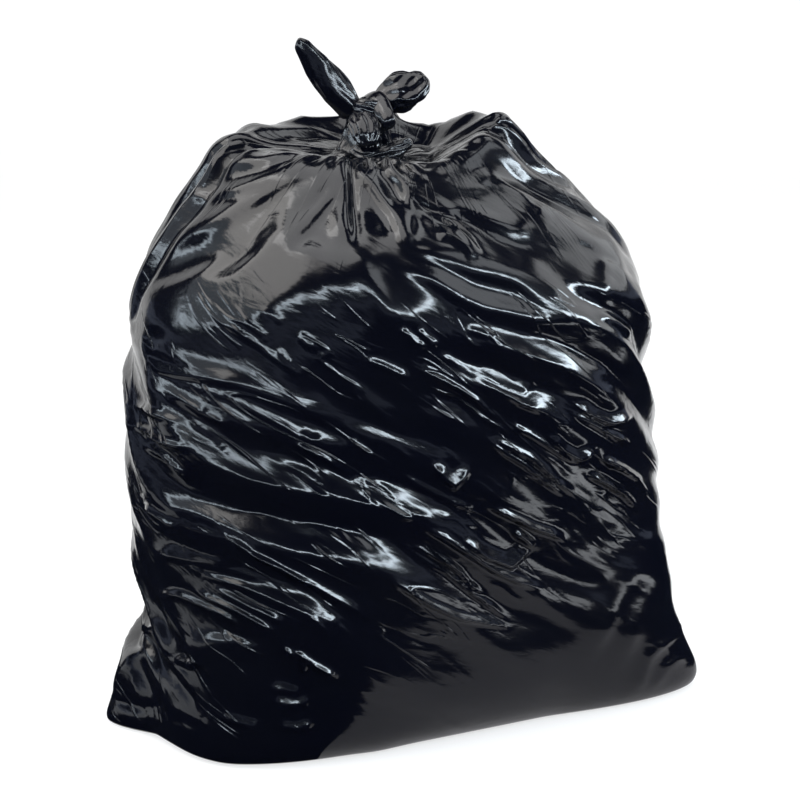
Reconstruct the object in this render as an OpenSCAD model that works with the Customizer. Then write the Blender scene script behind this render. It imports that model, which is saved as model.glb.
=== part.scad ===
// Tied refuse sack: one sack of thin black film, filled, twisted shut and knotted with its own two tails.
// The film is a loft through cross-sections, and pleats, creases and lumps are folded into its surface.

/* [Body] */
// Width of the sack at its belly, along its wide way
belly_w = 536; // [440:2:640]
// Depth of the sack at its belly
belly_d = 376; // [300:2:460]
// Height of the belly above the floor
belly_z = 245; // [200:5:290]
// Width at the shoulders, where the film turns in
shoulder_w = 406; // [360:2:500]
// Depth at the shoulders
shoulder_d = 316; // [260:2:380]
// Height of the shoulders
shoulder_z = 500; // [460:2:530]
// Width of the ring of film that stands highest around the knot
crest_w = 254; // [200:2:280]
// Depth of that ring
crest_d = 160; // [140:2:220]
// Height of that ring
crest_z = 580; // [560:2:640]
// Slope of that ring, whose back stands higher than its front
crest_tilt = 0.2; // [0:0.02:0.4]
// How far the crest stands to the left of the middle
crest_shift = 22; // [0:1:40]

// Direction in which the knot draws the film tight, seen from above, from the right counter-clockwise
tight_side = 215; // [190:5:240]

/* [Base] */
// Width of the flat that the sack stands on
base_w = 524; // [440:2:600]
// Depth of that flat
base_d = 244; // [200:2:300]
// Turn of the base, seen from above
base_turn = 31; // [20:1:40]
// Turn that is left at the crest, after the sack was twisted shut
crest_turn = 8; // [0:1:20]
// Radius of the soft edge between base and sides
hem_r = 14; // [8:1:24]

/* [Bottom corners] */
// How far the right corner of the bottom seam sticks out
right_corner_l = 48; // [20:1:70]
// Height to which the film is drawn out over the right corner
right_corner_h = 230; // [120:5:300]
// How far the left corner of the bottom seam sticks out
left_corner_l = 46; // [20:1:80]
// Height of the left corner
left_corner_h = 112; // [80:2:150]
// Plan direction of the right corner, from the right counter-clockwise
right_corner_at = 318; // [310:1:326]
// Plan direction of the left corner
left_corner_at = 140; // [132:1:148]
// Half of the angle over which a corner spreads
corner_spread = 30; // [24:1:36]
// Depth of the pinch over the left corner
pinch = 16; // [6:1:20]

/* [Neck] */
// Radius of the gathered neck under the knot
neck_r = 20; // [16:1:28]
// Height of the lowest point of the film around the neck
neck_z = 558; // [540:2:580]
// Place of the neck to the left of the middle
neck_x = 34; // [20:1:50]
// Place of the neck in front of the middle
neck_y = 8; // [0:1:20]

/* [Pleats] */
// Number of pleats gathered into the neck
pleats = 24; // [16:4:32]
// Depth of a pleat where it crosses the crest
pleat_depth = 11; // [4:1:20]
// How far the pleats swing to the sides on their way down from the knot, in degrees
fan = 34; // [0:2:44]
// How far down the side the longest pleats reach
pleat_reach = 250; // [120:5:320]

/* [Creases] */
// Number of slanting creases that a level line round the belly crosses
creases = 13; // [9:1:17]
// Upright distance from one slanting crease to the next
crease_pitch = 62; // [44:2:80]
// Depth of a slanting crease
crease_depth = 9; // [3:1:14]
// Depth of the lumps that the contents press into the film
lump_depth = 5; // [0:1:9]

/* [Main folds] */
// Height of the main folds on the front
fold_h = 9; // [0:1:13]
// Half width of a main fold on its long slope
fold_w = 24; // [20:1:36]

/* [Knot] */
// Width of the knot
knot_w = 44; // [34:1:56]
// Height of the knot above the film around the neck
knot_h = 56; // [44:1:70]
// Thickness of the bands of film that are wrapped round the knot
wrap_t = 18; // [12:1:24]
// Length of the left tail above the knot
left_tail_l = 88; // [50:2:120]
// Width of the left tail, which lies flat
left_tail_w = 30; // [20:1:40]
// Thickness of the left tail
left_tail_t = 12; // [8:1:16]
// Lean of the left tail to the left, from upright
left_tail_lean = 36; // [10:1:60]
// Length of the right tail above the knot
right_tail_l = 58; // [40:2:90]
// Width of the right tail, which is bunched
right_tail_w = 44; // [30:1:56]
// Thickness of the right tail
right_tail_t = 30; // [18:1:40]
// Lean of the right tail to the right, from upright
right_tail_lean = 57; // [20:1:75]

/* [Mesh] */
// Columns of points to each pleat
columns_per_pleat = 4; // [4:1:5]
// Distance between two rows of points
row_gap = 16.5; // [15:0.5:30]

/* [Hidden] */
black = [0.02, 0.02, 0.03];

columns = pleats * columns_per_pleat;
// Direction of the low panel beside the right corner that the corner pulls smooth
panel_at = right_corner_at - 33;

function between(a, b, t) = a + (b - a) * t;

// Cross-sections from the floor up: height, half width, half depth, centre x, centre y, turn, squareness,
// and the slope by which a section's back stands higher than its front
sections = [
    [0, base_w / 2, base_d / 2, 4, -2, base_turn, 3.6, 0],
    [hem_r * 0.4, base_w / 2 + hem_r * 0.8, base_d / 2 + hem_r * 0.8, 6, -2, base_turn, 3.4, 0],
    [hem_r * 2.4, base_w / 2 + hem_r, base_d / 2 + hem_r * 2, 8, -4, base_turn, 3.0, 0],
    [belly_z * 0.5, belly_w / 2 - 2, belly_d / 2 - 14, -2, -6, base_turn - 3, 2.6, 0],
    [belly_z, belly_w / 2, belly_d / 2, -6, -5, base_turn - 5, 2.4, 0],
    [between(belly_z, shoulder_z, 0.4), belly_w / 2 - 7, belly_d / 2 + 2, -8, -4, base_turn - 7, 2.3, 0],
    [between(belly_z, shoulder_z, 0.73), belly_w / 2 - 18, belly_d / 2 - 6, -3, -1, base_turn - 10, 2.2, 0.02],
    [shoulder_z, shoulder_w / 2, shoulder_d / 2, -15, 2, base_turn - 13, 2.2, 0.08],
    [between(shoulder_z, crest_z, 0.5), between(shoulder_w, crest_w, 0.5) / 2,
        between(shoulder_d, crest_d, 0.45) / 2, -27, 4, crest_turn + 6, 2.2, 0.16],
    [between(shoulder_z, crest_z, 0.83), between(shoulder_w, crest_w, 0.78) / 2,
        between(shoulder_d, crest_d, 0.78) / 2, -crest_shift - 8, 5, crest_turn + 2, 2.2, crest_tilt * 0.8],
    [between(shoulder_z, crest_z, 0.95), crest_w / 2 - 4, crest_d / 2 - 4,
        -crest_shift - 8, 4, crest_turn, 2.2, crest_tilt],
    [between(neck_z, crest_z, 0.4), crest_w / 4 + neck_r, crest_d / 4 + neck_r,
        -neck_x, -2, crest_turn, 2.0, crest_tilt / 2],
    [neck_z, neck_r * 1.6, neck_r * 1.5, -neck_x, -neck_y, 0, 2.0, 0],
    [neck_z + neck_r * 0.7, neck_r * 1.05, neck_r, -neck_x, -neck_y, 0, 2.0, 0],
    [neck_z + neck_r * 1.9, neck_r * 0.9, neck_r * 0.9, -neck_x + 3, -neck_y, 0, 2.0, 0],
];
last_section = len(sections) - 1;

// A smooth curve through the sections, at a place s counted in sections, for one column of their table
function section_value(s, k) =
    let (i = min(floor(s), last_section - 1), f = s - i,
         p0 = sections[max(i - 1, 0)][k], p1 = sections[i][k],
         p2 = sections[i + 1][k], p3 = sections[min(i + 2, last_section)][k])
    p1 + f / 2 * (p2 - p0 + f * (2 * p0 - 5 * p1 + 4 * p2 - p3 + f * (3 * (p1 - p2) + p3 - p0)));

// The smooth sack, before any fold: u is the angle round it and s the place from floor to neck
function smooth_point(u, s) =
    let (z = section_value(s, 0), n = section_value(s, 6), turn = section_value(s, 5),
         r = pow(pow(abs(cos(u)), n) + pow(abs(sin(u)), n), -1 / n),
         x = section_value(s, 1) * r * cos(u), y = section_value(s, 2) * r * sin(u),
         back = x * sin(turn) + y * cos(turn))
    [section_value(s, 3) + x * cos(turn) - y * sin(turn), section_value(s, 4) + back,
     z + back * section_value(s, 7)];

function unit(v) = v / max(norm(v), 1e-9);

// Outward direction of the smooth sack
function outward(u, s) =
    let (s0 = max(s - 0.02, 0), s1 = min(s + 0.02, last_section),
         across = smooth_point(u + 0.5, s) - smooth_point(u - 0.5, s),
         up = smooth_point(u, s1) - smooth_point(u, s0))
    unit(cross(across, up));

// A bump that is 1 at the middle and falls to 0 at the given half width
function bump(x, half) = let (t = max(1 - abs(x) / half, 0)) t * t * (3 - 2 * t);
// Rises smoothly from 0 to 1 as x goes from a to b
function rise(x, a, b) = let (t = min(max((x - a) / (b - a), 0), 1)) t * t * (3 - 2 * t);
// Difference of two angles, from -180 to 180
function turn_between(a, b) = let (d = (a - b) % 360) d > 180 ? d - 360 : d < -180 ? d + 360 : d;
// A wave with sharp ridges, from -1 to 1, that repeats each time x grows by 1
function ridge(x) = let (f = x - floor(x)) 1 - 4 * abs(f - 0.5);

// Angle of a column of points at a section: the columns are unevenly spaced, so that no two pleats are alike,
// and they fan out from the front of the neck, as the film is drawn tight from the knot
function column_angle(i, s) =
    let (a = 360 * i / columns, c = a + 4 * sin(2 * a + 40) + 2.5 * sin(5 * a + 110))
    c - fan * rise(s, 4, last_section - 4) * sin(c - 270);

// How far down the pleats reach at this angle: the left front is drawn tight, the right is slack
function reach_at(u) = pleat_reach * (0.55 + 0.45 * bump(turn_between(u, tight_side), 110));

function pleat_fold(i, u, s, z) =
    let (strength = 0.6 + 0.4 * sin(83 * floor(i / columns_per_pleat) + 30),
         fade = rise(z, crest_z - reach_at(u), crest_z - 20),
         depth = s > last_section - 4 ? neck_r * 0.17 : pleat_depth * (0.75 - 0.25 * sin(u)))
    depth * strength * fade * ridge(i / columns_per_pleat);

function crease_fold(u, z) =
    let (wander = 0.4 * sin(2 * u + z * 0.5) + 0.26 * sin(3 * u - z * 0.8 + 50),
         top = crest_z - reach_at(u),
         band = rise(z, 24, 90) * (1 - rise(z, top - 30, top + 50)),
         smooth_panel = bump(turn_between(u, panel_at), 60) * (1 - rise(z, belly_z * 0.25, belly_z * 0.86)),
         by_panel = bump(turn_between(u, panel_at), 85) * (1 - rise(z, belly_z * 0.7, belly_z * 1.35)),
         strength = 0.62 + 0.38 * sin(2.2 * u + z * 1.3))
    crease_depth * strength * band * (1 - 0.9 * smooth_panel) * (1 - 0.6 * by_panel)
        * ridge(creases * u / 360 + z / crease_pitch + wander);

function lump(u, z) =
    lump_depth * rise(z, 10, 60) * (1 - rise(z, shoulder_z - 60, crest_z))
        * (sin(3 * u + z * 0.8) + 0.7 * sin(4 * u - z * 1.3 + 70));

// Main folds as they show from the front: height, half widths above and below the fold, as shares of fold_h
// and fold_w, and points from left to right, as shares of half the belly's width and of the crest's height
front_folds = [
    // Right shoulder: its long lower edge, a second edge under it, and the folds of the slack film above
    [1.3, 1.4, 0.6, [[0.01, 0.84], [0.25, 0.8], [0.4, 0.78], [0.58, 0.72]]],
    [0.9, 0.85, 0.6, [[0, 0.82], [0.22, 0.76], [0.48, 0.72], [0.67, 0.71]]],
    [0.9, 0.6, 0.6, [[0.7, 0.72], [0.84, 0.67]]],
    [0.8, 0.6, 1.1, [[0.02, 0.97], [0.21, 0.97], [0.33, 0.99]]],
    [0.9, 0.85, 0.6, [[0.26, 0.94], [0.44, 0.87], [0.73, 0.79]]],
    [0.7, 0.6, 0.6, [[0.36, 1], [0.48, 0.95], [0.65, 0.88]]],
    // Under the knot: a deep fold straight down and a ridge beside it
    [-0.8, 0.6, 0.6, [[-0.19, 0.96], [-0.17, 0.85]]],
    [0.7, 0.6, 0.6, [[-0.15, 0.95], [-0.03, 0.89], [0.01, 0.84]]],
    // Left shoulder: tight folds that fan out from the knot
    [0.6, 0.6, 0.6, [[-0.73, 0.92], [-0.6, 0.99], [-0.32, 0.99]]],
    [0.7, 0.7, 0.6, [[-0.59, 0.95], [-0.19, 0.98]]],
    [0.6, 0.85, 0.6, [[-0.79, 0.82], [-0.6, 0.88], [-0.24, 0.96]]],
    [1.1, 1.5, 0.6, [[-0.54, 0.74], [-0.38, 0.85], [-0.21, 0.96]]],
    [1, 0.6, 1.2, [[-0.19, 0.98], [-0.19, 0.85]]],
    [0.7, 0.6, 0.6, [[-0.84, 0.71], [-0.61, 0.82]]],
    // Brow over the belly on the left and under the knot, where the sloping shoulder turns down
    [0.7, 1.25, 0.7,
        [[-0.98, 0.63], [-0.85, 0.68], [-0.56, 0.74], [-0.37, 0.8], [-0.25, 0.79], [-0.19, 0.83]]],
    [0.6, 1.1, 0.6, [[-0.19, 0.83], [-0.12, 0.78], [-0.03, 0.74], [0.1, 0.72]]],
    // Low on the left: a long slanting fold over the belly, and both folds of the corner flap
    [0.6, 0.7, 0.6, [[-0.59, 0.4], [-0.25, 0.31], [0.13, 0.2]]],
    [0.7, 0.6, 0.6, [[-0.96, 0.16], [-0.81, 0.18]]],
    [-0.9, 0.6, 0.6, [[-0.94, 0.16], [-0.7, 0.1]]],
];

// Height of one main fold at a point p of the front view
function fold_at(fold, p) =
    let (points = [for (q = fold[3]) [q[0] * belly_w / 2, q[1] * crest_z]], last = len(points) - 1,
         parts = [for (k = [0:last - 1])
             let (run = points[k + 1] - points[k], t = min(max((p - points[k]) * run / (run * run), 0), 1),
                  off = p - points[k] - t * run)
             [norm(off), run[0] * off[1] - run[1] * off[0], (k + t) / last]],
         nearest = min([for (part = parts) part[0]]),
         hit = [for (part = parts) if (part[0] == nearest) part][0],
         taper = min(5 * min(hit[2], 1 - hit[2]) + 0.15, 1))
    fold_h * fold[0] * taper * max(1 - nearest / (fold_w * (hit[1] > 0 ? fold[1] : fold[2])), 0);

function main_folds(p) = let (q = [p[0], p[2]], heights = [for (fold = front_folds) fold_at(fold, q)])
    heights * [for (fold = front_folds) 1];

// The corners of the bottom seam: outward push at the plan angle of each corner
function corner_push(u, z) =
    let (right = turn_between(u, right_corner_at), left = turn_between(u, left_corner_at))
    right_corner_l * pow(max(1 - z / right_corner_h, 0), 1.1) * pow(bump(right, corner_spread), 0.8)
    + left_corner_l * pow(max(1 - z / left_corner_h, 0), 0.9) * pow(bump(left, corner_spread), 0.8)
    - pinch * bump(left, corner_spread * 1.5) * bump(z - left_corner_h, left_corner_h / 2)
    - pinch / 2 * bump(right, corner_spread * 1.3) * bump(z - right_corner_h * 0.8, right_corner_h / 4);

function sack_point(i, s) =
    let (u = column_angle(i, s), p = smooth_point(u, s), z = p[2], front = rise(-outward(u, s)[1], 0.1, 0.6),
         gathered = rise(z, crest_z - reach_at(u) - 20, crest_z - reach_at(u) + 60),
         main = front > 0 ? front * main_folds(p) : 0,
         calm = (1 - 0.85 * front * gathered) * (1 - 0.75 * min(abs(main) / max(fold_h * 0.67, 1), 1)),
         fold = s < 1 ? 0 : (pleat_fold(i, u, s, z) + crease_fold(u, z)) * calm + lump(u, z) + main,
         centre = [section_value(s, 3), section_value(s, 4), z],
         q = p + fold * rise(s, 1, 3) * outward(u, s) + corner_push(u, z) * unit(p - centre))
    [q[0], q[1], max(q[2], 0)];

// A closed solid through rings of points that all have the same number of points
module loft(rings) {
    n = len(rings[0]);
    m = len(rings);
    points = [for (ring = rings) each ring];
    // Each patch between four points is split along the creases, unless that diagonal is much the longer one
    sides = [for (k = [0:m - 2], i = [0:n - 1])
        let (j = (i + 1) % n, a = k * n + i, b = k * n + j, c = a + n, d = b + n)
        each norm(points[a] - points[d]) < 0.75 * norm(points[b] - points[c])
            ? [[a, c, d], [a, d, b]] : [[a, c, b], [b, c, d]]];
    polyhedron(points, concat(sides, [[for (i = [0:n - 1]) i]], [[for (i = [n - 1:-1:0]) (m - 1) * n + i]]));
}

// Places of the rows, counted in sections, so that the rows lie about row_gap apart on the film
rows = [for (k = [0:last_section - 1])
    let (n = max(round(norm([for (c = [0:2]) sections[k + 1][c] - sections[k][c]]) / row_gap), 1))
        for (j = [0:n - 1]) k + j / n, last_section];

module film_body() {
    loft([for (s = rows) [for (i = [0:columns - 1]) sack_point(i, s)]]);
}

// Middle of the knot
knot = [-neck_x + 2, -neck_y - 4, neck_z + knot_h / 2];
left_root = knot + [-knot_w * 0.3, 2, knot_h * 0.3];
right_root = knot + [knot_w * 0.3, 2, knot_h * 0.34];
left_tip = left_root + left_tail_l * [-sin(left_tail_lean), 0, cos(left_tail_lean)];
right_tip = right_root + right_tail_l * [sin(right_tail_lean), 0, cos(right_tail_lean)];

// A ring of points, with small pleats, around centre c in the plane of the directions a and b
function pleated_ring(c, a, b, n, folds, depth) =
    [for (i = [0:n - 1])
        let (t = 360 * i / n, r = 1 + depth * ridge(folds * i / n))
        c + r * (a * cos(t) + b * sin(t))];

// A band of film that is wrapped round the knot and dives into it at both ends: w is its width and lift its
// height over the middle of the knot, and it climbs while it goes round
module wrap(lift, lean, start, sweep, w, climb) {
    steps = 14;
    across = [cos(lean), 0, sin(lean)];
    up = [-sin(lean), 0, cos(lean)];
    loft([for (k = [0:steps])
        let (t = k / steps, p = start + sweep * t, swell = pow(sin(180 * between(0.05, 0.95, t)), 0.5),
             out = across * cos(p) + [0, 1, 0] * sin(p),
             c = knot + [0, 0, lift] + out * (knot_w / 2 - wrap_t * 0.6) * (0.6 + 0.4 * swell) + up * climb * t)
        pleated_ring(c, out * wrap_t / 2 * swell, up * -w / 2 * swell, 12, 4, 0.16)]);
}

// A tail of the sack: a pleated tongue of film from root to tip that bows to one side
module tail(root, tip, w, t, outline, bow, folds) {
    run = tip - root;
    side = unit(cross([0, 1, 0], run));
    last = len(outline) - 1;
    loft([for (k = [0:last])
        let (f = k / last, c = root + run * f + side * bow * sin(180 * f))
        pleated_ring(c, side * w / 2 * outline[k][0], [0, t / 2 * outline[k][1], 0], 14, folds, 0.2)]);
}

// The bunched film inside the knot, from the neck up to the root of a tail
module strand(from, to, r) {
    steps = 5;
    for (k = [0:steps - 1])
        hull()
            for (f = [k / steps, (k + 1) / steps])
                translate(between(from, to, f) - [0, wrap_t * 0.4 * sin(180 * f), 0])
                    sphere(r * (1 - 0.2 * f), $fn = 10);
}

// Width and thickness of the tails along their length, as parts of the full ones
left_outline = [[0.7, 1.3], [0.85, 1.1], [0.97, 1], [1, 0.9], [0.97, 0.8], [0.88, 0.7], [0.7, 0.55],
    [0.5, 0.4], [0.25, 0.25]];
right_outline = [[0.45, 0.6], [0.5, 0.65], [0.68, 0.8], [0.88, 0.95], [1, 1], [1, 1], [0.92, 0.9],
    [0.74, 0.65], [0.3, 0.25]];

module sack() {
    color(black) union() {
        film_body();
        wrap(lift = knot_h * 0.3, lean = -24, start = 160, sweep = 260, w = knot_h * 0.5, climb = -4);
        wrap(lift = -knot_h * 0.02, lean = 16, start = 140, sweep = 300, w = knot_h * 0.5, climb = 4);
        wrap(lift = -knot_h * 0.42, lean = -8, start = 175, sweep = 210, w = knot_h * 0.42, climb = 2);
        strand(knot - [0, 0, knot_h * 0.4], left_root, knot_w * 0.24);
        strand(knot - [0, 0, knot_h * 0.4], right_root, knot_w * 0.24);
        translate(knot) scale([knot_w * 0.8, knot_w * 0.8, knot_h]) sphere(0.5, $fn = 12);
        tail(left_root, left_tip, left_tail_w, left_tail_t, left_outline, 4, 3);
        tail(right_root, right_tip, right_tail_w, right_tail_t, right_outline, 4, 4);
    }
}

sack();
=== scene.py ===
import math

import bpy
import numpy as np
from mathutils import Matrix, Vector


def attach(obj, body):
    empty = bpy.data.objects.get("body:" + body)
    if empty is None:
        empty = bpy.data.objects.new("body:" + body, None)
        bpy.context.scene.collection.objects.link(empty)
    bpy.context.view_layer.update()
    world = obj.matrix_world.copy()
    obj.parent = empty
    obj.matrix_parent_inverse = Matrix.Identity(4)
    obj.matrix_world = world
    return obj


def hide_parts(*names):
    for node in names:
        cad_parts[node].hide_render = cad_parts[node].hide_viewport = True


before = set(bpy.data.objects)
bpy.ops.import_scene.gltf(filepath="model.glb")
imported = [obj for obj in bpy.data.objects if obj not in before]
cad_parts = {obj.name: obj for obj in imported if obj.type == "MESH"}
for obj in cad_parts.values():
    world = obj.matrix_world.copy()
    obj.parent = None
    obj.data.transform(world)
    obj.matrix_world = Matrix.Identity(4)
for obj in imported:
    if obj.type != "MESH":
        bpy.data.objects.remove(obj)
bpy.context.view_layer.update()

# Camera: stands 2.6 m in front of the sack and a little above it, and looks down on it by 12 degrees.
# Its long lens shows the sack almost without perspective, 1 mm to a pixel at the sack's middle.
camera_far = 2.6
camera_rise = math.radians(12)
lens_mm = 117
sensor_mm = 36
looked_at = Vector((0, 0, 0.312))
camera_back = Vector((0, -math.cos(camera_rise), math.sin(camera_rise)))
camera_data = bpy.data.cameras.new("camera")
camera_data.lens = lens_mm
camera_data.sensor_width = sensor_mm
camera = bpy.data.objects.new("camera", camera_data)
camera.location = looked_at + camera_far * camera_back
camera.rotation_euler = camera_back.to_track_quat("Z", "Y").to_euler()
bpy.context.collection.objects.link(camera)
bpy.context.scene.camera = camera

# Paper sweep: one sheet of pale studio paper that lies under the sack and curves up to a wall far behind it.
# It shows white, with the sack's own soft shadow on it.
sweep_front = -3.9
sweep_back = 4.2
sweep_half_width = 4.0
sweep_curve = 0.9
sweep_wall = 3.2
paper_white = (0.86, 0.86, 0.86, 1)
paper_glow = 0.65


def sweep_profile():
    """Floor line, quarter circle and wall of the sweep, as (y, z) points."""
    bend_steps = 16
    bend = [
        (
            sweep_back + sweep_curve * math.sin(math.pi / 2 * k / bend_steps),
            sweep_curve - sweep_curve * math.cos(math.pi / 2 * k / bend_steps),
        )
        for k in range(bend_steps + 1)
    ]
    return [(sweep_front, 0.0), *bend, (sweep_back + sweep_curve, sweep_wall)]


def paper_material():
    """Pale paper: partly lit by the lamps, so that it holds a shadow, and partly white by itself."""
    material = bpy.data.materials.new("studio_paper")
    material.use_nodes = True
    nodes, links = material.node_tree.nodes, material.node_tree.links
    nodes.clear()
    paper = nodes.new("ShaderNodeBsdfDiffuse")
    paper.inputs["Color"].default_value = paper_white
    glow = nodes.new("ShaderNodeEmission")
    glow.inputs["Color"].default_value = (1, 1, 1, 1)
    glow.inputs["Strength"].default_value = 1.0
    rays = nodes.new("ShaderNodeLightPath")
    seen = nodes.new("ShaderNodeMath")
    seen.operation = "MAXIMUM"
    links.new(rays.outputs["Is Camera Ray"], seen.inputs[0])
    links.new(rays.outputs["Is Glossy Ray"], seen.inputs[1])
    through = nodes.new("ShaderNodeMath")
    through.operation = "MAXIMUM"
    links.new(seen.outputs[0], through.inputs[0])
    links.new(rays.outputs["Is Transmission Ray"], through.inputs[1])
    share = nodes.new("ShaderNodeMath")
    share.operation = "MULTIPLY"
    links.new(through.outputs[0], share.inputs[0])
    share.inputs[1].default_value = paper_glow
    mix = nodes.new("ShaderNodeMixShader")
    links.new(share.outputs[0], mix.inputs["Fac"])
    links.new(paper.outputs[0], mix.inputs[1])
    links.new(glow.outputs[0], mix.inputs[2])
    out = nodes.new("ShaderNodeOutputMaterial")
    links.new(mix.outputs[0], out.inputs["Surface"])
    return material


profile = sweep_profile()
sweep_mesh = bpy.data.meshes.new("paper_sweep")
sweep_mesh.from_pydata(
    [(side * sweep_half_width, y, z) for y, z in profile for side in (-1, 1)],
    [],
    [(2 * k, 2 * k + 1, 2 * k + 3, 2 * k + 2) for k in range(len(profile) - 1)],
)
sweep_mesh.shade_smooth()
sweep_mesh.materials.append(paper_material())
sweep = bpy.data.objects.new("paper_sweep", sweep_mesh)
bpy.context.collection.objects.link(sweep)

# Lamps and dark room: six softboxes above the sack, two low lit cards beside its corners and six long narrow
# windows round the front. Black cloth with a low grey band hangs behind them and covers the floor up to a
# grey card. Glossy film mirrors it all: grey planes on the shoulders, thin bright lines on a black belly.
room_white = (1, 1, 1, 1)
cloth_black = (0.010, 0.012, 0.020, 1)
card_grey = (0.48, 0.48, 0.50, 1)
band_grey = (0.26, 0.30, 0.40, 1)
lit_middle = Vector((0, 0, 0.35))


def softbox(name, place, width, height, radiance, colour=(1, 1, 1)):
    """A flat lamp that gives off the same radiance whatever its size."""
    data = bpy.data.lights.new(name, "AREA")
    data.shape = "RECTANGLE"
    data.size = width
    data.size_y = height
    data.energy = radiance * math.pi * width * height
    data.color = colour
    lamp = bpy.data.objects.new(name, data)
    lamp.location = place
    lamp.rotation_euler = (lit_middle - Vector(place)).to_track_quat("-Z", "Y").to_euler()
    lamp.visible_camera = False
    bpy.context.collection.objects.link(lamp)


softbox("overhead_softbox", (-0.4, -0.3, 2.7), 2.1, 1.5, 2.6)
softbox("left_softbox", (-1.6, -0.35, 2.5), 2.7, 1.2, 3.5, (1.0, 0.98, 0.95))
softbox("left_fill", (-2.2, -0.5, 1.85), 2.7, 0.55, 0.8, (0.82, 0.91, 1.0))
softbox("back_softbox", (1.05, 0.7, 2.55), 1.1, 0.75, 2.1, (0.95, 0.98, 1.0))
softbox("right_softbox", (1.8, -0.6, 2.4), 1.3, 0.9, 2.2, (0.9, 0.95, 1.0))
softbox("corner_softbox", (1.95, 1.15, 1.5), 1.5, 1.1, 1.8, (0.95, 0.98, 1.0))
softbox("corner_card_right", (0.80, -0.20, 0.05), 0.55, 0.10, 3.0, (0.92, 0.96, 1.0))
softbox("corner_card_left", (-1.0, -0.1, 0.1), 0.9, 0.22, 0.8, (0.92, 0.96, 1.0))
window_far = 2.65
window_wide = 1.6
window_blue = (0.78, 0.90, 1.0)
# Turn from the front in degrees, height, upright size and radiance of each window
for number, (turn, height, tall, radiance) in enumerate([
    (-86, 1.50, 0.26, 6.5), (-52, 1.55, 0.24, 9.0), (-17, 1.58, 0.22, 13.0),
    (18, 1.58, 0.22, 21.0), (53, 1.55, 0.24, 24.0), (88, 1.50, 0.28, 24.0),
]):
    turn = math.radians(turn)
    place = (window_far * math.sin(turn), -window_far * math.cos(turn), height)
    softbox(f"window_{number + 1}", place, window_wide, tall, radiance, window_blue)

room_r, room_floor, room_ceiling = 3.6, 0.003, 3.5
room_from, room_to = -128, 140
card_r, cloth_r, cloth_x = 0.05, 0.27, 0.11
band_low, band_high = 0.65, 1.05
room_steps = 40
room_line = [
    (card_r, room_floor), (cloth_r, room_floor), (room_r, room_floor),
    (room_r, band_low), (room_r, band_high), (room_r, room_ceiling),
]
line_parts = len(room_line) - 1
card_part, band_part = 0, 3
room_mesh = bpy.data.meshes.new("dark_room")
room_corners = []
room_faces = []
for k in range(room_steps + 1):
    turn = math.radians(room_from + (room_to - room_from) * k / room_steps)
    for r, height in room_line:
        shift = cloth_x if r <= cloth_r else 0
        room_corners.append((shift + r * math.sin(turn), -r * math.cos(turn), height))
for k in range(room_steps):
    for j in range(line_parts):
        corner = (line_parts + 1) * k + j
        room_faces.append((corner, corner + 1, corner + line_parts + 2, corner + line_parts + 1))
ceiling_middle = len(room_corners)
room_corners.append((0, 0, room_ceiling))
for k in range(room_steps):
    turn = 2 * math.pi * k / room_steps
    room_corners.append((room_r * math.sin(turn), -room_r * math.cos(turn), room_ceiling))
    room_faces.append((ceiling_middle, ceiling_middle + 1 + k, ceiling_middle + 1 + (k + 1) % room_steps))
room_mesh.from_pydata(room_corners, [], room_faces)
for name, colour in (("black_cloth", cloth_black), ("grey_card", card_grey), ("grey_band", band_grey)):
    paint = bpy.data.materials.new(name)
    paint.use_nodes = True
    paint_nodes = paint.node_tree.nodes
    paint_nodes.clear()
    shine = paint_nodes.new("ShaderNodeEmission")
    shine.inputs["Color"].default_value = colour
    paint_out = paint_nodes.new("ShaderNodeOutputMaterial")
    paint.node_tree.links.new(shine.outputs[0], paint_out.inputs["Surface"])
    room_mesh.materials.append(paint)
for k in range(room_steps):
    room_mesh.polygons[line_parts * k + card_part].material_index = 1
    room_mesh.polygons[line_parts * k + band_part].material_index = 2
room = bpy.data.objects.new("dark_room", room_mesh)
room.visible_camera = False
room.visible_diffuse = False
room.visible_shadow = False
bpy.context.collection.objects.link(room)

world = bpy.data.worlds.new("studio_room")
world.use_nodes = True
world.node_tree.nodes["Background"].inputs["Color"].default_value = room_white
world.node_tree.nodes["Background"].inputs["Strength"].default_value = 1.0
bpy.context.scene.world = world
bpy.context.scene.view_settings.view_transform = "Standard"

# Sack: one tube of thin black polythene film, filled with loose refuse and drawn together at the top. It is a
# grid of points that starts as the CAD solid's loft, with pleats, slanting creases and the photo's folds. It
# is given more film than the loft needs and relaxed until it creases, and the narrowest creases come last.
MM = 0.001
# Sizes are in mm, and turns in degrees, 0 at the right and 270 at the front
belly_w, belly_d, belly_z = 536, 376, 245
shoulder_w, shoulder_d, shoulder_z = 406, 316, 500
crest_w, crest_d, crest_z = 254, 160, 580
crest_tilt, crest_shift, crest_turn = 0.2, 22, 8
base_w, base_d, base_turn, hem_r = 524, 244, 31, 14
neck_r, neck_z, neck_x, neck_y = 20, 558, 34, 8
pleats, pleat_depth, pleat_reach, fan, tight_side = 24, 11, 250, 34, 215
fold_slant = 27
creases, crease_pitch, crease_depth, lump_depth = 13, 62, 9, 5
right_corner_at, right_corner_l, right_corner_h = 318, 48, 230
left_corner_at, left_corner_l, left_corner_h = 140, 46, 112
corner_spread, pinch = 30, 16
panel_at = 298
film_seed = 7
film_spare = 0.06
film_crowding = 0.52
film_levels = [(72, 86, 100), (144, 170, 90), (288, 344, 40)]


def between(a, b, t):
    return a + (b - a) * t


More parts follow.
